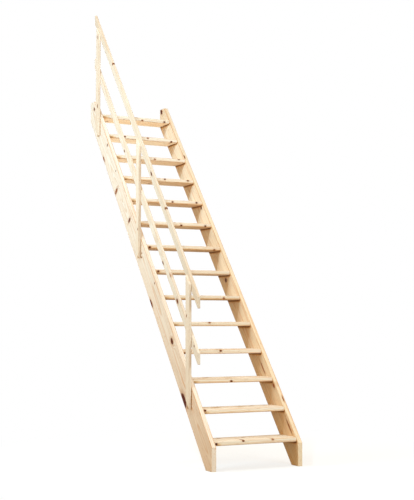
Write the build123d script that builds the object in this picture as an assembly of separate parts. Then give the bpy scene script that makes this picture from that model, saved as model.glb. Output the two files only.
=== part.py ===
from build123d import *
import math
import os

# A straight, steep flight of open pine treads between two plank stringers,
# with a handrail and a knee rail on three flat posts along the left stringer.
# All sizes are millimetres.

# The flight
tread_count = 14
rise = 200.0
first_rise = 198.0
incline = 50.0
clear_width = 632.0

# Stringers: planks set on the slope, the same cut at the foot and the head
stringer_thickness = 35.0
stringer_width = 174.0
stringer_foot_length = 92.0
stringer_head_above_tread = 128.0
stringer_edge_radius = 3.0

# Treads: boards let into stopped housings in the stringers
tread_thickness = 32.0
tread_nosing = 6.5
tread_nose_radius = 8.0
tread_back_radius = 2.5
housing_depth = 12.0
housing_stop = 12.0
housing_clearance = 0.2

# Posts: flat boards on the outer face of the left stringer
post_thickness = 20.0
post_width = 58.0
post_first_y = 452.0
post_spacing = 927.0
post_foot_lap = 95.0
post_top_above_rail_edge = 53.5
post_edge_radius = 2.0

# Rails: flat boards on the inner faces of the posts
rail_thickness = 20.0
rail_width = 55.0
rail_incline = 50.25
handrail_height = 661.5
knee_rail_height = 275.5
rail_foot_overhang = 102.0
rail_head_overhang = 92.0
rail_corner_radius = 4.0
rail_edge_radius = 3.0

# Derived slopes and lines. Y runs up the flight, Z is up, X = 0 is mid-width.
# The stringers' front edges lie on the line z = y * slope from the floor.
slope = math.tan(math.radians(incline))
slope_sin = math.sin(math.radians(incline))
slope_cos = math.cos(math.radians(incline))
rail_slope = math.tan(math.radians(rail_incline))
rail_cos = math.cos(math.radians(rail_incline))
stringer_run = stringer_width / slope_sin
inner_x = clear_width / 2
outer_x = inner_x + stringer_thickness
tread_tops = [first_rise + rise * number for number in range(tread_count)]
head_z = tread_tops[-1] + stringer_head_above_tread
head_front_y = head_z / slope
landing_y = head_front_y + stringer_foot_length
foot_front_y = stringer_run - stringer_foot_length

# Each tread is centred on the stringers: it stands forward of their front
# edges at its top as far as it stands behind their back edges at its bottom.
tread_depth = stringer_run - tread_thickness / slope + 2 * tread_nosing

# The frame's origin is the middle of the top tread's back face
origin_y = landing_y
origin_z = tread_tops[-1] - tread_thickness / 2

os.makedirs("parts", exist_ok=True)


def side_board(points, x_low, thickness):
    """A board whose outline is drawn in the Y-Z plane and whose thickness runs along X."""
    outline = Polyline(*[(y, z) for y, z in points], close=True)
    face = Plane.YZ * make_face(outline)
    return Pos(x_low, 0, 0) * extrude(face, thickness, dir=(1, 0, 0))


def ease(board, x_low, thickness, radius):
    """Round the edges all along both wide faces of a side board."""
    edges = board.edges().filter_by_position(Axis.X, x_low - 0.01, x_low + 0.01)
    edges += board.edges().filter_by_position(Axis.X, x_low + thickness - 0.01, x_low + thickness + 0.01)
    return fillet(edges, radius)


def save(solid, name):
    """Place a piece in the frame and write it."""
    placed = Pos(0, -origin_y, -origin_z) * solid
    placed.label = name
    export_step(placed, f"parts/{name}.step")


def tread_front_y(top):
    return top / slope - tread_nosing


def tread_back_y(top):
    return min(tread_front_y(top) + tread_depth, landing_y)


def tongue(top, grow):
    """The end of a tread that goes into the housing, as a block across the whole flight."""
    front = top / slope + housing_stop - grow
    back = (top - tread_thickness) / slope + stringer_run - housing_stop + grow
    length = clear_width + 2 * (housing_depth - housing_clearance + grow)
    height = tread_thickness + 2 * grow
    return Pos(0, (front + back) / 2, top - tread_thickness / 2) * Box(length, back - front, height)


# Stringers
stringer_outline = [
    (foot_front_y, 0),
    (foot_front_y, foot_front_y * slope),
    (head_front_y, head_z),
    (landing_y, head_z),
    (landing_y, (landing_y - stringer_run) * slope),
    (stringer_run, 0),
]
for name, x_low in (("stringer_left", -outer_x), ("stringer_right", inner_x)):
    stringer = side_board(stringer_outline, x_low, stringer_thickness)
    stringer = ease(stringer, x_low, stringer_thickness, stringer_edge_radius)
    for top in tread_tops:
        stringer -= tongue(top, housing_clearance)
    save(stringer, name)

# Treads
for number, top in enumerate(tread_tops, 1):
    front = tread_front_y(top)
    back = tread_back_y(top)
    middle_z = top - tread_thickness / 2
    length = clear_width - 2 * housing_clearance
    board = Pos(0, (front + back) / 2, middle_z) * Box(length, back - front, tread_thickness)
    nose = board.edges().filter_by(Axis.X).filter_by_position(Axis.Y, front - 0.01, front + 0.01)
    board = fillet(nose, tread_nose_radius)
    heel = board.edges().filter_by(Axis.X).filter_by_position(Axis.Y, back - 0.01, back + 0.01)
    board = fillet(heel, tread_back_radius)
    board += tongue(top, 0.0)
    save(board, f"tread_{number:02d}")

# Posts
post_top_line = handrail_height + post_top_above_rail_edge
post_bottom_line = -post_foot_lap / slope_cos
for number, name in enumerate(("post_lower", "post_middle", "post_upper")):
    front = post_first_y + post_spacing * number
    back = front + post_width
    outline = [
        (front, front * slope + post_bottom_line),
        (front, front * rail_slope + post_top_line),
        (back, back * rail_slope + post_top_line),
        (back, back * slope + post_bottom_line),
    ]
    x_low = -outer_x - post_thickness
    post = side_board(outline, x_low, post_thickness)
    post = ease(post, x_low, post_thickness, post_edge_radius)
    save(post, name)

# Rails: plumb cuts at both ends, with the corners of the cuts eased
rail_rise = rail_width / rail_cos
rail_foot_y = post_first_y - rail_foot_overhang
rail_head_y = post_first_y + 2 * post_spacing + post_width + rail_head_overhang
for name, height in (("handrail", handrail_height), ("knee_rail", knee_rail_height)):
    foot_z = rail_foot_y * rail_slope + height
    head_z_low = rail_head_y * rail_slope + height
    outline = [
        (rail_foot_y, foot_z),
        (rail_foot_y, foot_z + rail_rise),
        (rail_head_y, head_z_low + rail_rise),
        (rail_head_y, head_z_low),
    ]
    rail = side_board(outline, -outer_x, rail_thickness)
    rail = fillet(rail.edges().filter_by(Axis.X), rail_corner_radius)
    rail = ease(rail, -outer_x, rail_thickness, rail_edge_radius)
    save(rail, name)
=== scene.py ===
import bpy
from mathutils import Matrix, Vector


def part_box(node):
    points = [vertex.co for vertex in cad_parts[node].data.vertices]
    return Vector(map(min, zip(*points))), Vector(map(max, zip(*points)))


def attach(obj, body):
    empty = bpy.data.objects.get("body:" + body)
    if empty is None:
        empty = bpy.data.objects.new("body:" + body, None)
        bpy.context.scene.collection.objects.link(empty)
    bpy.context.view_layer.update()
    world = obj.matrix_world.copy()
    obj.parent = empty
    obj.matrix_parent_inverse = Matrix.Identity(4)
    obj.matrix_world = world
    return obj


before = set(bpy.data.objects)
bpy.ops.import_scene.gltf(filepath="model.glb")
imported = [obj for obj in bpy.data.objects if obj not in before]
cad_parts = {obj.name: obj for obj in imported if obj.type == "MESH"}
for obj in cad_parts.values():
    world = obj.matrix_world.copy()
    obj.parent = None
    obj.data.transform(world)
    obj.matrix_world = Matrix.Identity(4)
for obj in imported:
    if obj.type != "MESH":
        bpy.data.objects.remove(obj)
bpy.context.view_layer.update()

import bmesh
import bpy
import math
import random
from mathutils import Matrix, Vector

# Stringers. Two planks of Scots pine, 35 mm thick and 174 mm deep, planed on all four sides and
# cut level and plumb at both ends. They stand at 50 degrees on the floor, and the treads are let
# into stopped housings in their inner faces.
incline = math.radians(50)
stringer_half = (0.0175, 1.9, 0.087)


def paint(hex_code):
    """A colour written as sRGB hex, as the linear colour that a node takes."""
    channels = [int(hex_code[place:place + 2], 16) / 255 for place in (0, 2, 4)]
    linear = [c / 12.92 if c <= 0.04045 else ((c + 0.055) / 1.055) ** 2.4 for c in channels]
    return (*linear, 1.0)


def add(tree, kind, inputs=None, **settings):
    """Add a node to a tree, with its settings, and with its inputs set or linked.

    An input goes by its name, or by its number where a node has several of one name. In Map Range,
    1 and 2 are the two ends that it reads, and 3 and 4 the two that it gives, which are 0 and 1
    unless they are set. In Mix, 0 is the share of the second colour, and 6 and 7 are the colours.
    """
    node = tree.nodes.new(kind)
    for name, value in settings.items():
        setattr(node, name, value)
    for name, value in (inputs or {}).items():
        if isinstance(value, bpy.types.NodeSocket):
            tree.links.new(value, node.inputs[name])
        else:
            node.inputs[name].default_value = value
    return node


def group_with(name, takes, gives):
    """A node group and its two end nodes, with the sockets that it takes and gives."""
    tree = bpy.data.node_groups.new(name, "ShaderNodeTree")
    for socket, kind in takes:
        tree.interface.new_socket(socket, in_out="INPUT", socket_type="NodeSocket" + kind)
    for socket, kind in gives:
        tree.interface.new_socket(socket, in_out="OUTPUT", socket_type="NodeSocket" + kind)
    return tree, add(tree, "NodeGroupInput").outputs, add(tree, "NodeGroupOutput").inputs


# One branch in the board. Inside it is the knot with its dark bark, and round it the rings swell,
# so that the grain on the face flows round the knot like water round a stone. The knot's edge,
# its bark and the reach of the swelling are given in the knot's own radii.
ragged_size = 0.009
raggedness = 0.7
knot_ends, knot_full = 1.05, 0.85
bark_line = 0.92
bark_ends, bark_full = 0.40, 0.12
swell_ends, swell_full = 3.6, 0.6
swell_height = 0.013
branch, at, out = group_with(
    "branch_in_board",
    [("Board", "Vector"), ("Place", "Vector"), ("Reach", "Vector"), ("Dark", "Float"),
     ("Swell", "Float"), ("Knot", "Float"), ("Bark", "Float")],
    [("Swell", "Float"), ("Knot", "Float"), ("Bark", "Float")],
)
away = add(branch, "ShaderNodeVectorMath", {0: at["Board"], 1: at["Place"]}, operation="SUBTRACT")
sized = add(branch, "ShaderNodeVectorMath", {0: away.outputs[0], 1: at["Reach"]},
            operation="MULTIPLY")
distance = add(branch, "ShaderNodeVectorMath", {0: sized.outputs[0]}, operation="LENGTH")
ragged = add(branch, "ShaderNodeTexNoise",
             {"Vector": at["Board"], "Scale": 1 / ragged_size, "Detail": 2.0})
uneven = add(branch, "ShaderNodeMath",
             {0: ragged.outputs[0], 1: raggedness, 2: distance.outputs["Value"]},
             operation="MULTIPLY_ADD")
edge = add(branch, "ShaderNodeMath", {0: uneven.outputs[0], 1: raggedness / 2},
           operation="SUBTRACT")
inside = add(branch, "ShaderNodeMapRange", {"Value": edge.outputs[0], 1: knot_ends, 2: knot_full},
             interpolation_type="SMOOTHSTEP")
from_bark = add(branch, "ShaderNodeMath", {0: edge.outputs[0], 1: bark_line}, operation="SUBTRACT")
off_bark = add(branch, "ShaderNodeMath", {0: from_bark.outputs[0]}, operation="ABSOLUTE")
bark = add(branch, "ShaderNodeMapRange",
           {"Value": off_bark.outputs[0], 1: bark_ends, 2: bark_full},
           interpolation_type="SMOOTHSTEP")
near = add(branch, "ShaderNodeMapRange",
           {"Value": distance.outputs["Value"], 1: swell_ends, 2: swell_full, 4: swell_height},
           interpolation_type="SMOOTHSTEP")
swell = add(branch, "ShaderNodeMath", {0: at["Swell"], 1: near.outputs[0]}, operation="ADD")
darkened = add(branch, "ShaderNodeMath", {0: inside.outputs[0], 1: at["Dark"]},
               operation="MULTIPLY")
barked = add(branch, "ShaderNodeMath", {0: bark.outputs[0], 1: at["Dark"]}, operation="MULTIPLY")
knot = add(branch, "ShaderNodeMath", {0: at["Knot"], 1: darkened.outputs[0]}, operation="MAXIMUM")
rind = add(branch, "ShaderNodeMath", {0: at["Bark"], 1: barked.outputs[0]}, operation="MAXIMUM")
branch.links.new(swell.outputs[0], out["Swell"])
branch.links.new(knot.outputs[0], out["Knot"])
branch.links.new(rind.outputs[0], out["Bark"])

# Scots pine, planed and not finished. Pale straw early wood fades into amber late wood and stops
# at a sharp line, ring after ring round the pith. The rings of the real wood are 2 to 4 mm wide,
# and are drawn 6.5 mm wide, and the fibres 2.5 mm wide, so that they show at the picture's size.
# The profile is how much late wood there is from the inner side of a ring to its outer side.
pine_early_wood = "F2E7DA"
pine_late_wood = "DBB48D"
pine_heartwood = "EACEAF"
pine_vein = "CE9460"
pine_resin = "A9692F"
pine_average = "E8D7C6"
pine_end_grain = "CE9F68"
# The next colour is partly wear and partly painted shade on the arrises.
pine_worn_and_shaded = "BC8044"
# The next two colours are painted shade, golden and then brown.
pine_shade_golden = "F2D8B4"
pine_shade_brown = "89571C"
knot_wood = "AC5E2A"
knot_bark = "561F07"
ring_spacing = 0.0065
ring_profile = ((0.0, 0.45), (0.12, 0.0), (0.5, 0.1), (0.8, 0.75), (0.93, 1.0), (1.0, 0.5))
late_strength = 0.62
sway_width, sway_length = 0.09, 1.1
good_run, good_gain = 0.021, 0.012
ripple_width, ripple_length, ripple_height = 0.04, 0.3, 0.006
fibre_width, fibre_length = 0.0025, 0.12
streak_width, streak_length = 0.018, 0.8
fleck_width, fleck_length = 0.004, 0.035
heart_ends, heart_full, heart_strength = 0.075, 0.05, 0.6
vein_starts, vein_full, vein_strength = 0.56, 0.68, 0.42
fleck_starts, fleck_full, fleck_strength = 0.73, 0.79, 0.5
noise_low, noise_high = 0.3, 0.7
fibre_dark, fibre_pale = 0.95, 1.02
streak_dark, streak_pale = 0.9, 1.04
timber, at, out = group_with(
    "planed_scots_pine",
    [("Board", "Vector"), ("Face", "Vector"), ("Pith", "Vector"), ("Half size", "Vector"),
     ("Seed", "Float"), ("Low tint", "Color"), ("High tint", "Color"), ("Swell", "Float"),
     ("Knot", "Float"), ("Bark", "Float"), ("Painted shade", "Float"), ("Figure", "Float")],
    [("Colour", "Color"), ("Roughness", "Float"), ("Normal", "Vector")],
)
grain = {}
for pattern, width, run, detail, roughness in (
    ("ripple", ripple_width, ripple_length, 2.0, 0.5),
    ("fibre", fibre_width, fibre_length, 3.0, 0.6),
    ("streak", streak_width, streak_length, 2.0, 0.5),
    ("fleck", fleck_width, fleck_length, 0.0, 0.5),
):
    stretched = add(timber, "ShaderNodeVectorMath",
                    {0: at["Board"], 1: (1 / width, 1 / run, 1 / width)}, operation="MULTIPLY")
    noise = add(timber, "ShaderNodeTexNoise",
                {"Vector": stretched.outputs[0], "W": at["Seed"], "Scale": 1.0, "Detail": detail,
                 "Roughness": roughness}, noise_dimensions="4D")
    grain[pattern] = noise.outputs[0]

# The trunk sways a little along the board, some years grow wider rings than others, and each ring
# ripples. How far a point is from the pith then says which part of which ring it is in.
lengthways = add(timber, "ShaderNodeVectorMath", {0: at["Board"], 1: (0, 1 / sway_length, 0)},
                 operation="MULTIPLY")
wander = add(timber, "ShaderNodeTexNoise",
             {"Vector": lengthways.outputs[0], "W": at["Seed"], "Scale": 1.0, "Detail": 1.0},
             noise_dimensions="4D")
sway = add(timber, "ShaderNodeVectorMath",
           {0: wander.outputs["Color"], 1: (sway_width, 0, sway_width),
            2: (-sway_width / 2, 0, -sway_width / 2)}, operation="MULTIPLY_ADD")
pith = add(timber, "ShaderNodeVectorMath", {0: at["Pith"], 1: sway.outputs[0]}, operation="ADD")
off_pith = add(timber, "ShaderNodeVectorMath", {0: at["Board"], 1: pith.outputs[0]},
               operation="SUBTRACT")
across = add(timber, "ShaderNodeVectorMath", {0: off_pith.outputs[0], 1: (1, 0, 1)},
             operation="MULTIPLY")
radius = add(timber, "ShaderNodeVectorMath", {0: across.outputs[0]}, operation="LENGTH")
year = add(timber, "ShaderNodeMath", {0: radius.outputs["Value"], 1: 1 / good_run, 2: at["Seed"]},
           operation="MULTIPLY_ADD")
good_years = add(timber, "ShaderNodeTexNoise", {"W": year.outputs[0], "Scale": 1.0},
                 noise_dimensions="1D")
widened = add(timber, "ShaderNodeMath",
              {0: good_years.outputs[0], 1: good_gain, 2: radius.outputs["Value"]},
              operation="MULTIPLY_ADD")
rippled = add(timber, "ShaderNodeMath",
              {0: grain["ripple"], 1: ripple_height, 2: widened.outputs[0]},
              operation="MULTIPLY_ADD")
swollen = add(timber, "ShaderNodeMath", {0: rippled.outputs[0], 1: at["Swell"]}, operation="ADD")
rings = add(timber, "ShaderNodeMath", {0: swollen.outputs[0], 1: 1 / ring_spacing},
            operation="MULTIPLY")
ring = add(timber, "ShaderNodeMath", {0: rings.outputs[0]}, operation="FRACT")
late = add(timber, "ShaderNodeValToRGB", {"Fac": ring.outputs[0]})
for place, _ in ring_profile[1:-1]:
    late.color_ramp.elements.new(place)
for stop, (_, shade) in zip(late.color_ramp.elements, ring_profile):
    stop.color = (shade, shade, shade, 1)

# The colour starts from the rings. Amber heartwood near the pith, reddish veins, short flecks of
# resin and fine light and dark fibres lie over them.
late_share = add(timber, "ShaderNodeMath", {0: late.outputs["Color"], 1: late_strength},
                 operation="MULTIPLY")
grown = add(timber, "ShaderNodeMix",
            {0: late_share.outputs[0], 6: paint(pine_early_wood), 7: paint(pine_late_wood)},
            data_type="RGBA")
heart = add(timber, "ShaderNodeMapRange",
            {"Value": swollen.outputs[0], 1: heart_ends, 2: heart_full, 4: heart_strength},
            interpolation_type="SMOOTHSTEP")
hearted = add(timber, "ShaderNodeMix",
              {0: heart.outputs[0], 6: grown.outputs[2], 7: paint(pine_heartwood)},
              data_type="RGBA")
vein_share = add(timber, "ShaderNodeMapRange",
                 {"Value": grain["streak"], 1: vein_starts, 2: vein_full, 4: vein_strength},
                 interpolation_type="SMOOTHSTEP")
veined = add(timber, "ShaderNodeMix",
             {0: vein_share.outputs[0], 6: hearted.outputs[2], 7: paint(pine_vein)},
             data_type="RGBA")
fleck_share = add(timber, "ShaderNodeMapRange",
                  {"Value": grain["fleck"], 1: fleck_starts, 2: fleck_full, 4: fleck_strength})
flecked = add(timber, "ShaderNodeMix",
              {0: fleck_share.outputs[0], 6: veined.outputs[2], 7: paint(pine_resin)},
              data_type="RGBA")
fibre_light = add(timber, "ShaderNodeMapRange",
                  {"Value": grain["fibre"], 1: noise_low, 2: noise_high, 3: fibre_dark,
                   4: fibre_pale})
streak_light = add(timber, "ShaderNodeMapRange",
                   {"Value": grain["streak"], 1: noise_low, 2: noise_high, 3: streak_dark,
                    4: streak_pale})
light = add(timber, "ShaderNodeMath", {0: fibre_light.outputs[0], 1: streak_light.outputs[0]},
            operation="MULTIPLY")
shaded = add(timber, "ShaderNodeVectorMath",
             {0: flecked.outputs[2], "Scale": light.outputs[0]}, operation="SCALE")

# Each board has its own two tints, one at its low end and one at its high end. Its narrow faces
# take most of the high tint, which paints light on them. Where Figure is low, the grain fades
# towards the average colour of the wood.
narrow_light_starts, narrow_light_full, narrow_light_strength = 0.4, 0.7, 0.7
drift_power = 0.5
spot = add(timber, "ShaderNodeSeparateXYZ", {0: at["Board"]})
length = add(timber, "ShaderNodeSeparateXYZ", {0: at["Half size"]})
low_end = add(timber, "ShaderNodeMath", {0: length.outputs["Y"], 1: -1.0}, operation="MULTIPLY")
drift = add(timber, "ShaderNodeMapRange",
            {"Value": spot.outputs["Y"], 1: low_end.outputs[0], 2: length.outputs["Y"]})
sooner = add(timber, "ShaderNodeMath", {0: drift.outputs[0], 1: drift_power},
             operation="POWER")
facing = add(timber, "ShaderNodeSeparateXYZ", {0: at["Face"]})
narrow = add(timber, "ShaderNodeMath", {0: facing.outputs["Z"]}, operation="ABSOLUTE")
narrow_light = add(timber, "ShaderNodeMapRange",
              {"Value": narrow.outputs[0], 1: narrow_light_starts, 2: narrow_light_full,
               4: narrow_light_strength})
tint_share = add(timber, "ShaderNodeMath", {0: sooner.outputs[0], 1: narrow_light.outputs[0]},
                 operation="MAXIMUM")
tint = add(timber, "ShaderNodeMix",
           {0: tint_share.outputs[0], 6: at["Low tint"], 7: at["High tint"]}, data_type="RGBA")
calmed = add(timber, "ShaderNodeMix",
             {0: at["Figure"], 6: paint(pine_average), 7: shaded.outputs[0]}, data_type="RGBA")
tinted = add(timber, "ShaderNodeVectorMath", {0: calmed.outputs[2], 1: tint.outputs[2]},
             operation="MULTIPLY")

# Resin has soaked into the wood round a knot. The knot itself is red-brown, with a nearly black
# line of bark, and the sawn ends of a board drink in light and look darker than its faces.
halo_starts, halo_strength = 0.005, 0.5
knot_fills = 0.35
end_starts, end_full, end_strength = 0.6, 0.95, 0.5
halo = add(timber, "ShaderNodeMapRange",
           {"Value": at["Swell"], 1: halo_starts, 2: swell_height, 4: halo_strength})
amber = add(timber, "ShaderNodeMix",
            {0: halo.outputs[0], 6: tinted.outputs[0], 7: paint(pine_resin)}, data_type="RGBA")
knot_shade = add(timber, "ShaderNodeMix",
                 {0: at["Knot"], 6: paint(knot_wood), 7: paint(knot_bark)}, data_type="RGBA")
knot_share = add(timber, "ShaderNodeMapRange", {"Value": at["Knot"], 1: 0.0, 2: knot_fills})
knotted = add(timber, "ShaderNodeMix",
              {0: knot_share.outputs[0], 6: amber.outputs[2], 7: knot_shade.outputs[2]},
              data_type="RGBA")
barky = add(timber, "ShaderNodeMix",
            {0: at["Bark"], 6: knotted.outputs[2], 7: paint(knot_bark)}, data_type="RGBA")
endways = add(timber, "ShaderNodeMath", {0: facing.outputs["Y"]}, operation="ABSOLUTE")
end_share = add(timber, "ShaderNodeMapRange",
                {"Value": endways.outputs[0], 1: end_starts, 2: end_full, 4: end_strength})
ended = add(timber, "ShaderNodeMix",
            {0: end_share.outputs[0], 6: barky.outputs[2], 7: paint(pine_end_grain)},
            data_type="RGBA", blend_type="MULTIPLY")

# Each arris was eased with abrasive and then handled, which leaves it smoother. It is darker in
# places, partly as wear and partly as painted shade on the rounded arris. The mask is high only
# where a point is near both a wide and a narrow face.
arris_width = 0.006
arris_fade = 0.003
rub_starts, rub_full, rub_strength = 0.28, 0.55, 0.62
size_in = add(timber, "ShaderNodeVectorMath", {0: at["Half size"], 1: (arris_width,) * 3},
              operation="SUBTRACT")
folded = add(timber, "ShaderNodeVectorMath", {0: at["Board"]}, operation="ABSOLUTE")
past = add(timber, "ShaderNodeVectorMath", {0: folded.outputs[0], 1: size_in.outputs[0]},
           operation="SUBTRACT")
parts = add(timber, "ShaderNodeSeparateXYZ", {0: past.outputs[0]})
near_wide = add(timber, "ShaderNodeMapRange", {"Value": parts.outputs["X"], 1: 0.0, 2: arris_fade})
near_narrow = add(timber, "ShaderNodeMapRange",
                  {"Value": parts.outputs["Z"], 1: 0.0, 2: arris_fade})
corner = add(timber, "ShaderNodeMath", {0: near_wide.outputs[0], 1: near_narrow.outputs[0]},
             operation="MULTIPLY")
rubbed = add(timber, "ShaderNodeMapRange",
             {"Value": grain["ripple"], 1: rub_starts, 2: rub_full, 4: rub_strength})
eased = add(timber, "ShaderNodeMath", {0: corner.outputs[0], 1: at["Figure"]},
            operation="MULTIPLY")
worn_and_shaded = add(timber, "ShaderNodeMath", {0: eased.outputs[0], 1: rubbed.outputs[0]},
           operation="MULTIPLY")
edged = add(timber, "ShaderNodeMix",
            {0: worn_and_shaded.outputs[0], 6: ended.outputs[2], 7: paint(pine_worn_and_shaded)}, data_type="RGBA")

# Painted shade, below the treads, beside the posts and at the treads' ends and undersides. A
# little of it only turns the pine golden, and more of it turns it brown.
golden_at = 0.4
shade_ramp = add(timber, "ShaderNodeValToRGB", {"Fac": at["Painted shade"]})
shade_ramp.color_ramp.elements.new(golden_at)
for stop, shade in zip(shade_ramp.color_ramp.elements, ("FFFFFF", pine_shade_golden, pine_shade_brown)):
    stop.color = paint(shade)
shade_painted = add(timber, "ShaderNodeMix", {0: 1.0, 6: edged.outputs[2], 7: shade_ramp.outputs["Color"]},
              data_type="RGBA", blend_type="MULTIPLY")
timber.links.new(shade_painted.outputs[2], out["Colour"])

# A planed surface is matt. Late wood, knots and worn arrises are denser and shine a little more.
# The planer leaves the late wood, the fibres and the knots about 0.15 mm proud.
early_roughness, late_roughness = 0.68, 0.58
knot_shine, worn_shine = 0.08, 0.3
fibre_rise, knot_rise = 0.5, 1.2
planed_relief, relief_strength = 0.00015, 0.5
rough = add(timber, "ShaderNodeMapRange",
            {"Value": late.outputs["Color"], 3: early_roughness, 4: late_roughness})
rough_knot = add(timber, "ShaderNodeMath", {0: at["Knot"], 1: -knot_shine, 2: rough.outputs[0]},
                 operation="MULTIPLY_ADD")
rough_worn = add(timber, "ShaderNodeMath",
                 {0: worn_and_shaded.outputs[0], 1: -worn_shine, 2: rough_knot.outputs[0]},
                 operation="MULTIPLY_ADD")
timber.links.new(rough_worn.outputs[0], out["Roughness"])
fibre_height = add(timber, "ShaderNodeMath",
                   {0: grain["fibre"], 1: fibre_rise, 2: late.outputs["Color"]},
                   operation="MULTIPLY_ADD")
knot_height = add(timber, "ShaderNodeMath",
                  {0: at["Knot"], 1: knot_rise, 2: fibre_height.outputs[0]},
                  operation="MULTIPLY_ADD")
relief = add(timber, "ShaderNodeBump",
             {"Strength": relief_strength, "Distance": planed_relief,
              "Height": knot_height.outputs[0]})
timber.links.new(relief.outputs[0], out["Normal"])

# A branch that runs through a board's thickness hardly narrows in it, and one that goes in from a
# narrow face ends 7 cm in. These are its reach, as one over the metres.
branch_through, branch_in = 4, 14
# Bare wood hardly mirrors, because its open fibres scatter the shine.
pine_mirror = 0.1


def saw_from_pine(name, axes, half, pith, tints, knots, figure=1.0):
    """Give a CAD board its own piece of planed Scots pine.

    axes are the directions through its thickness, along its grain and across its width, and half
    is half of each of these sizes. pith is where the middle of the trunk was, seen from the middle
    of the board. The colour drifts from the first tint at the low end to the second at the high
    end. figure says how strong the grain is, 1 for all of it. Each knot is its place along and
    across the board from the middle, its half length and half width on the face, how dark it is,
    and how it runs: 0 for through the thickness, or the side of the narrow face it goes in from.
    """
    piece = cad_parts[name]
    low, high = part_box(name)
    turn = Matrix(axes)
    seed = sum(ord(letter) * place for place, letter in enumerate(name, 1)) / 7.0
    material = bpy.data.materials.new("planed_scots_pine_" + name)
    material.use_nodes = True
    tree = material.node_tree
    tree.nodes.clear()
    where = add(tree, "ShaderNodeTexCoord")
    board = add(tree, "ShaderNodeMapping",
                {"Vector": where.outputs["Object"], "Rotation": turn.to_euler(),
                 "Location": -(turn @ ((low + high) / 2))})
    face = add(tree, "ShaderNodeMapping",
               {"Vector": where.outputs["Normal"], "Rotation": turn.to_euler()},
               vector_type="VECTOR")
    seen = {"Swell": 0.0, "Knot": 0.0, "Bark": 0.0}
    for along, over, half_length, half_width, dark, runs in knots:
        if runs:
            place = (over, along, runs * half[2])
            reach = (1 / half_width, 1 / half_length, branch_in)
        else:
            place = (0, along, over)
            reach = (branch_through, 1 / half_length, 1 / half_width)
        knot = add(tree, "ShaderNodeGroup",
                   {"Board": board.outputs[0], "Place": place, "Reach": reach, "Dark": dark,
                    **seen}, node_tree=branch)
        seen = {socket: knot.outputs[socket] for socket in seen}
    pine = add(tree, "ShaderNodeGroup",
               {"Board": board.outputs[0], "Face": face.outputs[0], "Pith": pith,
                "Half size": half, "Seed": seed, "Low tint": paint(tints[0]),
                "High tint": paint(tints[1]), "Figure": figure, **seen}, node_tree=timber)
    surface = add(tree, "ShaderNodeBsdfPrincipled",
                  {"Base Color": pine.outputs["Colour"], "IOR": 1.5,
                   "Roughness": pine.outputs["Roughness"], "Normal": pine.outputs["Normal"],
                   "Specular IOR Level": pine_mirror})
    add(tree, "ShaderNodeOutputMaterial", {"Surface": surface.outputs[0]})
    piece.material_slots[0].material = material
    return tree, where, board, pine


slope_axes = [
    (1, 0, 0),
    (0, math.cos(incline), math.sin(incline)),
    (0, -math.sin(incline), math.cos(incline)),
]
left_knots = [
    (1.785, 0.044, 0.014, 0.011, 0.8, 0),
    (1.293, 0.059, 0.008, 0.010, 0.8, 0),
    (1.263, -0.074, 0.026, 0.010, 0.35, 0),
    (0.975, 0.055, 0.006, 0.006, 0.7, 0),
    (0.836, -0.043, 0.014, 0.031, 0.4, 0),
    (0.445, 0.009, 0.012, 0.022, 0.8, 0),
    (0.062, 0.030, 0.005, 0.005, 0.8, 0),
    (0.040, 0.006, 0.005, 0.006, 0.8, 0),
    (-0.286, 0.069, 0.006, 0.006, 0.7, 0),
    (-0.361, -0.076, 0.034, 0.011, 0.75, 0),
    (-0.821, 0.037, 0.024, 0.014, 0.95, 0),
    (-1.269, -0.070, 0.050, 0.024, 1.0, 0),
]
right_knots = [
    (1.857, 0.025, 0.024, 0.014, 1.0, 0),
    (1.181, -0.008, 0.020, 0.004, 0.7, 1),
    (0.585, 0.051, 0.011, 0.008, 1.0, 0),
    (-0.175, -0.003, 0.016, 0.012, 1.0, 0),
    (-1.073, 0.025, 0.050, 0.006, 0.3, 0),
    (-1.266, 0.070, 0.020, 0.010, 0.35, 0),
    (-1.397, 0.004, 0.022, 0.004, 0.5, 1),
    (-1.616, 0.060, 0.060, 0.006, 0.35, 0),
]
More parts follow.
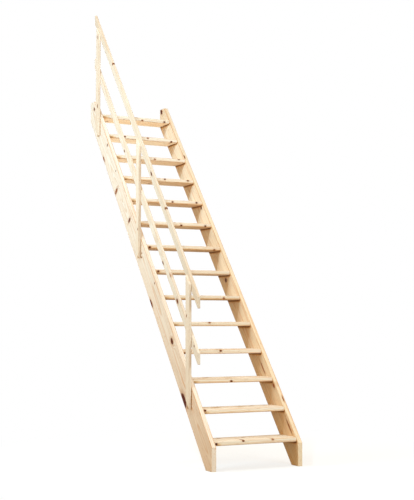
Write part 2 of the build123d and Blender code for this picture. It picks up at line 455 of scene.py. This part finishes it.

# Painted shade on the inner faces for two centimetres below each tread, and a painted shadow on
# the left stringer's outer face beside each post. The treads stand at even steps, so the nearest
# one to a point is found by rounding its height. A face takes the painted shade only as far as it
# looks straight inwards.
shade_edge, shade_reach, shade_strength = 0.002, 0.024, 0.95
inward_gain = 2.5
post_shadow_edge, post_shadow_reach, post_shadow_strength = 0.002, 0.014, 0.85
post_shadow_end = 0.004
tread_half_thickness = 0.016
last_step = 13.0
first_low, first_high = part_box("tread_01")
tread_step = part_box("tread_02")[0] - first_low
tread_section = (first_high - first_low) / 2
tread_section.x = 1.0  # past both stringers, so that only the height and depth count
# The stringers' tints are painted light: darker and more amber at the foot, pale at the top.
for name, pith, tints, knots, inner in (
    ("stringer_left", (0.075, 0, 0.01), ("ECD2B8", "FFFFFF"), left_knots, 1),
    ("stringer_right", (-0.08, 0, -0.015), ("F6D7AA", "FAF5E9"), right_knots, -1),
):
    tree, where, _, pine = saw_from_pine(name, slope_axes, stringer_half, pith, tints, knots)
    off = add(tree, "ShaderNodeVectorMath",
              {0: where.outputs["Object"], 1: (first_low + first_high) / 2}, operation="SUBTRACT")
    parts = add(tree, "ShaderNodeSeparateXYZ", {0: off.outputs[0]})
    steps = add(tree, "ShaderNodeMath", {0: parts.outputs["Z"], 1: tread_step.z},
                operation="DIVIDE")
    whole = add(tree, "ShaderNodeMath", {0: steps.outputs[0]}, operation="ROUND")
    lowest = add(tree, "ShaderNodeMath", {0: whole.outputs[0], 1: 0.0}, operation="MAXIMUM")
    nearest = add(tree, "ShaderNodeMath", {0: lowest.outputs[0], 1: last_step},
                  operation="MINIMUM")
    from_tread = add(tree, "ShaderNodeVectorMath",
                     {0: nearest.outputs[0], 1: -tread_step, 2: off.outputs[0]},
                     operation="MULTIPLY_ADD")
    folded = add(tree, "ShaderNodeVectorMath", {0: from_tread.outputs[0]}, operation="ABSOLUTE")
    past = add(tree, "ShaderNodeVectorMath", {0: folded.outputs[0], 1: tread_section},
               operation="SUBTRACT")
    outside = add(tree, "ShaderNodeVectorMath", {0: past.outputs[0], 1: (0, 0, 0)},
                  operation="MAXIMUM")
    gap = add(tree, "ShaderNodeVectorMath", {0: outside.outputs[0]}, operation="LENGTH")
    painted_shade = add(tree, "ShaderNodeMapRange",
                {"Value": gap.outputs["Value"], 1: shade_edge, 2: shade_reach,
                 3: shade_strength, 4: 0.0}, interpolation_type="SMOOTHSTEP")
    turned = add(tree, "ShaderNodeSeparateXYZ", {0: where.outputs["Normal"]})
    inward = add(tree, "ShaderNodeMath",
                 {0: turned.outputs["X"], 1: inward_gain * inner, 2: 1 - inward_gain},
                 operation="MULTIPLY_ADD")
    level = add(tree, "ShaderNodeSeparateXYZ", {0: from_tread.outputs[0]})
    below = add(tree, "ShaderNodeMapRange",
                {"Value": level.outputs["Z"], 1: 0.0, 2: -tread_half_thickness})
    under = add(tree, "ShaderNodeMath", {0: below.outputs[0], 1: painted_shade.outputs[0]},
                operation="MULTIPLY")
    shown = add(tree, "ShaderNodeMath", {0: inward.outputs[0], 1: under.outputs[0]},
                operation="MULTIPLY", use_clamp=True)
    # Painted shadow of each post on the left stringer's outer face, in a line along each side of
    # it.
    if name == "stringer_left":
        spot = add(tree, "ShaderNodeSeparateXYZ", {0: where.outputs["Object"]})
        outward = add(tree, "ShaderNodeMath", {0: turned.outputs["X"], 1: -1.0},
                      operation="MULTIPLY")
        for post in ("post_lower", "post_middle", "post_upper"):
            low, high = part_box(post)
            half_post = (high.y - low.y) / 2
            off = add(tree, "ShaderNodeMath", {0: spot.outputs["Y"], 1: (low.y + high.y) / 2},
                      operation="SUBTRACT")
            beside = add(tree, "ShaderNodeMath", {0: off.outputs[0]}, operation="ABSOLUTE")
            post_shadow = add(tree, "ShaderNodeMapRange",
                       {"Value": beside.outputs[0], 1: half_post + post_shadow_edge,
                        2: half_post + post_shadow_reach, 3: post_shadow_strength, 4: 0.0})
            above = add(tree, "ShaderNodeMapRange",
                        {"Value": spot.outputs["Z"], 1: low.z - post_shadow_end, 2: low.z + post_shadow_end})
            lined = add(tree, "ShaderNodeMath", {0: post_shadow.outputs[0], 1: above.outputs[0]},
                        operation="MULTIPLY")
            outer = add(tree, "ShaderNodeMath", {0: lined.outputs[0], 1: outward.outputs[0]},
                        operation="MULTIPLY")
            shown = add(tree, "ShaderNodeMath", {0: shown.outputs[0], 1: outer.outputs[0]},
                        operation="MAXIMUM")
    tree.links.new(shown.outputs[0], pine.inputs["Painted shade"])

# Treads. Fourteen pine boards, 32 mm thick and 213 mm deep, with a rounded nose that stands just
# proud of the stringers' front edges. Their ends go 12 mm into the housings and are glued there.
tread_axes = [(0, 0, 1), (1, 0, 0), (0, 1, 0)]
tread_half = (tread_half_thickness, 0.328, 0.1066)
tread_tints = ["FFFDF9", "FDF8F1", "FAF5EC"]
# A knot that shows on a nose is given as its place along the tread and up it, and how dark it is.
# Two spare knots run through the thickness of each tread, wherever they happen to fall.
nose_knot = (0.008, 0.006)
nose_knots = {
    1: [(-0.305, -0.001, 1.0), (-0.099, 0.011, 0.9), (0.130, 0.010, 0.3)],
    2: [(-0.306, 0.009, 1.0)],
    3: [(-0.017, -0.006, 0.9)],
    4: [(-0.300, -0.008, 0.6), (-0.016, 0.005, 0.8)],
    5: [(-0.024, 0.011, 0.4)],
    6: [(0.180, -0.004, 0.4)],
    7: [(-0.294, 0.001, 0.8)],
    8: [(-0.294, -0.005, 0.9), (0.266, -0.010, 0.5)],
    9: [(0.052, -0.008, 0.9), (0.267, -0.005, 1.0)],
    10: [(0.050, -0.001, 0.7), (0.267, 0.003, 1.0)],
    11: [(0.054, 0.009, 0.9), (0.266, 0.008, 0.8)],
    12: [(0.034, -0.001, 0.4), (0.259, 0.013, 1.0)],
    13: [(-0.174, 0.003, 0.8), (0.040, 0.006, 0.4), (0.263, -0.010, 1.0)],
    14: [(0.057, -0.008, 0.5), (0.269, -0.005, 1.0)],
}
spare_knots = 2
spare_along, spare_over = (-0.28, 0.28), (-0.04, 0.08)
spare_length, spare_width, spare_dark = (0.008, 0.016), (0.006, 0.011), (0.5, 0.9)
pith_depth, pith_over = (0.05, 0.09), (-0.04, 0.04)

# Painted shadow of the left stringer on the lower half of each tread at its left end, and painted
# shade on the undersides, each as much as its share in the list says, from the lowest tread up.
clear_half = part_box("stringer_right")[0].x
left_shadow_run, left_shadow_strength = 0.075, 0.75
left_shadow_top, left_shadow_full = 0.008, -0.004
underside_shade_top, underside_shade_full = 0.002, -0.012
underside_shade_shares = [0.2, 0.35, 0.3, 0.15, 0.3, 0.55, 0.2, 0.45, 0.35, 0.35, 0.3, 0.2, 0.0, 0.0]
for (number, places), share in zip(nose_knots.items(), underside_shade_shares):
    chance = random.Random(number)
    knots = [(along, over, *nose_knot, dark, -1) for along, over, dark in places]
    for _ in range(spare_knots):
        spans = (spare_along, spare_over, spare_length, spare_width, spare_dark)
        knots.append((*(chance.uniform(*span) for span in spans), 0))
    tints = chance.sample(tread_tints, 2)
    side = chance.choice((-1, 1))
    pith = (side * chance.uniform(*pith_depth), 0, chance.uniform(*pith_over))
    tree, _, board, pine = saw_from_pine(
        f"tread_{number:02d}", tread_axes, tread_half, pith, tints, knots)
    spot = add(tree, "ShaderNodeSeparateXYZ", {0: board.outputs[0]})
    run = add(tree, "ShaderNodeMapRange",
              {"Value": spot.outputs["Y"], 1: -clear_half, 2: left_shadow_run - clear_half,
               3: left_shadow_strength, 4: 0.0}, interpolation_type="SMOOTHSTEP")
    under = add(tree, "ShaderNodeMapRange",
                {"Value": spot.outputs["X"], 1: left_shadow_top, 2: left_shadow_full})
    painted_shade = add(tree, "ShaderNodeMath", {0: run.outputs[0], 1: under.outputs[0]},
                operation="MULTIPLY")
    shaded_underside = add(tree, "ShaderNodeMapRange",
                 {"Value": spot.outputs["X"], 1: underside_shade_top, 2: underside_shade_full, 4: share})
    darker = add(tree, "ShaderNodeMath", {0: painted_shade.outputs[0], 1: shaded_underside.outputs[0]},
                 operation="MAXIMUM")
    tree.links.new(darker.outputs[0], pine.inputs["Painted shade"])

# Posts. Three flat pine boards, 58 by 20 mm, upright on the outer face of the left stringer. They
# are slanted at both ends, along the rail above and along the stringer below. On boards as thin as
# these and the rails the whole grain would only look speckled, so they show about half of it.
post_axes = [(1, 0, 0), (0, 0, 1), (0, -1, 0)]
post_half = (0.010, 0.45, 0.029)
post_pith = (0.05, 0, -0.03)
post_tints = ("FAF4EB", "F8F4EE")
thin_figure = 0.55
post_knots = {
    "post_lower": [(0.180, -0.012, 0.008, 0.005, 0.5, 0)],
    "post_middle": [(-0.250, 0.010, 0.007, 0.005, 0.5, 0)],
    "post_upper": [(-0.220, 0.015, 0.013, 0.006, 0.9, 0), (0.387, 0.010, 0.013, 0.006, 0.7, 0)],
}
for name, knots in post_knots.items():
    saw_from_pine(name, post_axes, post_half, post_pith, post_tints, knots, thin_figure)

# Rails. The handrail and the knee rail are flat pine boards, 55 by 20 mm, on the inner faces of
# the posts. Their ends are cut plumb and their arrises rounded for the hand.
rail_incline = math.radians(50.25)
rail_axes = [
    (1, 0, 0),
    (0, math.cos(rail_incline), math.sin(rail_incline)),
    (0, -math.sin(rail_incline), math.cos(rail_incline)),
]
rail_half = (0.010, 1.6, 0.0275)
handrail_knots = [
    (0.986, 0.022, 0.010, 0.007, 0.8, 0),
    (-0.348, 0.006, 0.020, 0.007, 1.0, 0),
    (-0.742, 0.022, 0.009, 0.007, 0.9, 0),
]
knee_rail_knots = [
    (0.504, -0.015, 0.010, 0.007, 0.9, 0),
    (-0.730, -0.019, 0.014, 0.007, 0.9, 0),
    (-0.890, 0.022, 0.018, 0.004, 0.4, 0),
    (-1.116, -0.002, 0.019, 0.010, 0.75, 0),
    (-1.540, 0.012, 0.007, 0.005, 0.8, 0),
]
for name, pith, tints, knots in (
    ("handrail", (-0.06, 0, 0.02), ("EBE8E2", "EFECE7"), handrail_knots),
    ("knee_rail", (0.07, 0, 0.01), ("F2EDE6", "F8F6F2"), knee_rail_knots),
):
    saw_from_pine(name, rail_axes, rail_half, pith, tints, knots, thin_figure)

# Screws. Zinc-plated wood screws with a flanged dome head and a six-lobed recess. Two go through
# each rail into each post, and two through the stringer into each post, all from the inner side,
# so that the outer faces stay clean.
flange_radius = 0.0058
flange_height = 0.0011
dome_radius = 0.0042
dome_height = 0.0028
recess_radius = 0.0021
recess_waist = 0.0015
recess_depth = 0.0014
head_segments = 24
rail_screw_offsets = ((-0.013, -0.004), (0.013, 0.004))
stringer_screw_offsets = ((-0.013, 0.075), (0.013, 0.100))


def drive_screws(name, heads):
    """One mesh with all the screw heads of a row, each a closed shell that faces +X.

    Each head starts as its round underside, and is drawn up ring by ring over the flange and the
    dome, and then down into the recess. A ring is round where its waist and its reach are the
    same, and a six-lobed star where they differ.
    """
    mesh = bmesh.new()
    outline = [
        (flange_radius, flange_height * 0.7),
        (flange_radius * 0.94, flange_height),
        (dome_radius, flange_height * 1.15),
        (dome_radius * 0.93, dome_height * 0.72),
        (dome_radius * 0.74, dome_height * 0.94),
        (recess_radius * 1.06, dome_height),
    ]
    rings = [(radius, radius, height) for radius, height in outline]
    rings += [(recess_waist, recess_radius, height)
              for height in (dome_height * 0.98, dome_height - recess_depth)]
    for place, twist in heads:
        rim = bmesh.ops.create_circle(mesh, segments=head_segments, radius=flange_radius,
                                      cap_ends=True)["verts"]
        edges = list({edge: None for corner in rim for edge in corner.link_edges})
        made = list(rim)
        for waist, reach, height in rings:
            grown = bmesh.ops.extrude_edge_only(mesh, edges=edges)["geom"]
            rim = [part for part in grown if isinstance(part, bmesh.types.BMVert)]
            edges = [part for part in grown if isinstance(part, bmesh.types.BMEdge)]
            for corner in rim:
                angle = math.atan2(corner.co.y, corner.co.x)
                lobe = (1 + math.cos(6 * angle)) / 2
                radius = waist + (reach - waist) * lobe
                corner.co = (math.cos(angle) * radius, math.sin(angle) * radius, height)
            made += rim
        bmesh.ops.contextual_create(mesh, geom=rim)
        turn = Matrix.Rotation(math.radians(90), 4, "Y") @ Matrix.Rotation(twist, 4, "Z")
        bmesh.ops.transform(mesh, matrix=Matrix.Translation(place) @ turn, verts=made)
    bmesh.ops.recalc_face_normals(mesh, faces=mesh.faces)
    data = bpy.data.meshes.new(name)
    mesh.to_mesh(data)
    mesh.free()
    for face in data.polygons:
        face.use_smooth = True
    piece = bpy.data.objects.new(name, data)
    bpy.context.scene.collection.objects.link(piece)
    return piece


# Bright zinc plating on steel: a pale grey metal with a soft sheen, clouded and a little dull
# where the bit has rubbed it. The clouds are 3 mm wide. The grit of real plating is too fine to
# show, and is drawn 0.6 mm wide.
zinc_shade, zinc_bright = "B9BAB4", "DAD8CF"
zinc_smooth, zinc_dull = 0.28, 0.46
cloud_size = 0.003
grit_size = 0.0006
grit_depth, grit_strength = 0.0001, 0.3
zinc = bpy.data.materials.new("zinc_plated_steel")
zinc.use_nodes = True
tree = zinc.node_tree
tree.nodes.clear()
where = add(tree, "ShaderNodeTexCoord")
clouds = add(tree, "ShaderNodeTexNoise",
             {"Vector": where.outputs["Object"], "Scale": 1 / cloud_size, "Detail": 3.0})
grit = add(tree, "ShaderNodeTexNoise",
           {"Vector": where.outputs["Object"], "Scale": 1 / grit_size})
plating = add(tree, "ShaderNodeMix",
              {0: clouds.outputs[0], 6: paint(zinc_shade), 7: paint(zinc_bright)},
              data_type="RGBA")
dull = add(tree, "ShaderNodeMapRange",
           {"Value": clouds.outputs[0], 1: noise_low, 2: noise_high, 3: zinc_smooth,
            4: zinc_dull})
dimples = add(tree, "ShaderNodeBump",
              {"Strength": grit_strength, "Distance": grit_depth, "Height": grit.outputs[0]})
metal = add(tree, "ShaderNodeBsdfPrincipled",
            {"Base Color": plating.outputs[2], "Metallic": 1.0, "Roughness": dull.outputs[0],
             "Normal": dimples.outputs[0]})
add(tree, "ShaderNodeOutputMaterial", {"Surface": metal.outputs[0]})

twist = random.Random(5)


def heads_at_post(board, tilt, post_y, offsets):
    """The heads on a sloping board's inner face where it crosses a post: places and twists."""
    low, high = board
    middle = (low + high) / 2
    height = middle.z + (post_y - middle.y) * math.tan(tilt)
    return [(Vector((high.x, post_y + aside, height + above)), twist.uniform(0, 1))
            for aside, above in offsets]


rail_heads = []
stringer_heads = []
for post in ("post_lower", "post_middle", "post_upper"):
    low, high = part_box(post)
    post_y = (low.y + high.y) / 2
    for rail in ("handrail", "knee_rail"):
        rail_heads += heads_at_post(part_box(rail), rail_incline, post_y, rail_screw_offsets)
    stringer_heads += heads_at_post(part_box("stringer_left"), incline, post_y,
                                    stringer_screw_offsets)
for name, heads, slot in (
    ("rail_screws", rail_heads, "rail_pine"),
    ("post_screws", stringer_heads, "stringer_pine"),
):
    screws = drive_screws(name, heads)
    screws.data.materials.append(zinc)
    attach(screws, "root")

# Floor. A plain pale studio floor of matt vinyl, wide enough to run past the picture on every
# side. The camera and the shiny surfaces see it lifted most of the way to white near the foot and
# all the way further off, and the rest keeps the staircase's shadow. Its bounced light is greyer.
floor_size = 40.0
floor_pale, floor_palest = "F4F3F1", "F8F8F7"
floor_bounce = "A9A59D"
soil_size = 1.5
lift_near, lift_far = 0.5, 2.2
lift_least = 0.7
floor_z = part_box("stringer_left")[0].z
flight_foot = (0.0, -2.0, floor_z)


def rays_to_backdrop(tree):
    """The light path, and 1 for a ray from the camera, off a shiny face or through a clear one."""
    rays = add(tree, "ShaderNodeLightPath")
    seen_or_mirrored = add(tree, "ShaderNodeMath",
                           {0: rays.outputs["Is Camera Ray"], 1: rays.outputs["Is Glossy Ray"]},
                           operation="MAXIMUM")
    backdrop = add(tree, "ShaderNodeMath",
                   {0: seen_or_mirrored.outputs[0], 1: rays.outputs["Is Transmission Ray"]},
                   operation="MAXIMUM")
    return rays, backdrop


mesh = bmesh.new()
bmesh.ops.create_grid(mesh, x_segments=8, y_segments=8, size=floor_size)
bmesh.ops.translate(mesh, vec=(0, 0, floor_z), verts=mesh.verts)
data = bpy.data.meshes.new("studio_floor")
mesh.to_mesh(data)
mesh.free()
floor = bpy.data.objects.new("studio_floor", data)
bpy.context.scene.collection.objects.link(floor)
vinyl = bpy.data.materials.new("matt_white_vinyl")
vinyl.use_nodes = True
tree = vinyl.node_tree
tree.nodes.clear()
where = add(tree, "ShaderNodeTexCoord")
soil = add(tree, "ShaderNodeTexNoise",
           {"Vector": where.outputs["Object"], "Scale": 1 / soil_size})
white = add(tree, "ShaderNodeMix",
            {0: soil.outputs[0], 6: paint(floor_pale), 7: paint(floor_palest)}, data_type="RGBA")
glow = add(tree, "ShaderNodeEmission", {"Color": (1, 1, 1, 1), "Strength": 1.0})
rays, backdrop = rays_to_backdrop(tree)
bounced = add(tree, "ShaderNodeMix",
              {0: rays.outputs["Is Camera Ray"], 6: paint(floor_bounce), 7: white.outputs[2]},
              data_type="RGBA")
lit = add(tree, "ShaderNodeBsdfDiffuse", {"Color": bounced.outputs[2]})
from_foot = add(tree, "ShaderNodeVectorMath",
                {0: where.outputs["Object"], 1: flight_foot}, operation="DISTANCE")
lift = add(tree, "ShaderNodeMapRange",
           {"Value": from_foot.outputs["Value"], 1: lift_near, 2: lift_far, 3: lift_least, 4: 1.0},
           interpolation_type="SMOOTHSTEP")
share = add(tree, "ShaderNodeMath", {0: backdrop.outputs[0], 1: lift.outputs[0]},
            operation="MULTIPLY")
mixed = add(tree, "ShaderNodeMixShader",
            {0: share.outputs[0], 1: lit.outputs[0], 2: glow.outputs[0]})
add(tree, "ShaderNodeOutputMaterial", {"Surface": mixed.outputs[0]})
data.materials.append(vinyl)

# Light. The sky is white to the camera, and lights the staircase a little warm and below full
# strength. Five soft square lamps hang in it, four of them a little cool.
sky_level = 0.84
sky_colour = (1.0, 0.735, 0.395, 1)
world = bpy.data.worlds.new("studio")
bpy.context.scene.world = world
world.use_nodes = True
tree = world.node_tree
tree.nodes.clear()
_, backdrop = rays_to_backdrop(tree)
level = add(tree, "ShaderNodeMapRange", {"Value": backdrop.outputs[0], 3: sky_level, 4: 1.0})
warmth = add(tree, "ShaderNodeMix", {0: backdrop.outputs[0], 6: sky_colour, 7: (1, 1, 1, 1)},
             data_type="RGBA")
sky = add(tree, "ShaderNodeBackground",
          {"Color": warmth.outputs[2], "Strength": level.outputs[0]})
add(tree, "ShaderNodeOutputWorld", {"Surface": sky.outputs[0]})


def hang_lamp(name, place, aim, size, power, colour):
    """A square soft lamp that looks at a point."""
    lamp = bpy.data.lights.new(name, "AREA")
    lamp.shape = "SQUARE"
    lamp.size = size
    lamp.energy = power
    lamp.color = colour
    holder = bpy.data.objects.new(name, lamp)
    holder.location = place
    holder.rotation_euler = (Vector(aim) - Vector(place)).to_track_quat("-Z", "Y").to_euler()
    bpy.context.scene.collection.objects.link(holder)


# The key lamp hangs high in front of the upper treads, so that each tread throws its triangle of
# shadow on the right stringer. Wide cool lamps fill from the left, the front and, weaker, the
# right, and a small warm one lights the undersides of the upper treads from behind.
cool = (0.57, 0.82, 1.0)
warm = (1.0, 0.86, 0.60)
hang_lamp("key_lamp", (-2.0, -2.4, 1.9), (0.0, -1.0, -1.0), 0.2, 99, cool)
hang_lamp("left_lamp", (-4.0, -1.2, 0.3), (-0.35, -1.4, -1.7), 1.0, 112, cool)
hang_lamp("front_lamp", (0.4, -7.5, -0.6), (0.0, -1.2, -1.4), 2.0, 222, cool)
hang_lamp("right_lamp", (4.5, -1.3, -1.2), (0.3, -1.3, -1.2), 2.0, 70, cool)
hang_lamp("under_lamp", (0.2, 1.3, -1.0), (0.0, -0.5, -0.4), 0.8, 28, warm)

# Camera. A long lens at hip height, to the left of the flight and well in front of it. It looks a
# little upwards, and takes in the whole flight and its rails.
camera_place = (-3.5393, -8.8651, -1.7919)
yaw, pitch = math.radians(26.0445), math.radians(3.8937)
camera = bpy.data.cameras.new("camera")
camera.sensor_width = 36
camera.lens = 77.117
camera_holder = bpy.data.objects.new("camera", camera)
camera_holder.location = camera_place
aim = Vector((math.sin(yaw) * math.cos(pitch), math.cos(yaw) * math.cos(pitch), math.sin(pitch)))
camera_holder.rotation_euler = aim.to_track_quat("-Z", "Y").to_euler()
bpy.context.scene.collection.objects.link(camera_holder)
bpy.context.scene.camera = camera_holder
bpy.context.scene.view_settings.view_transform = "Standard"
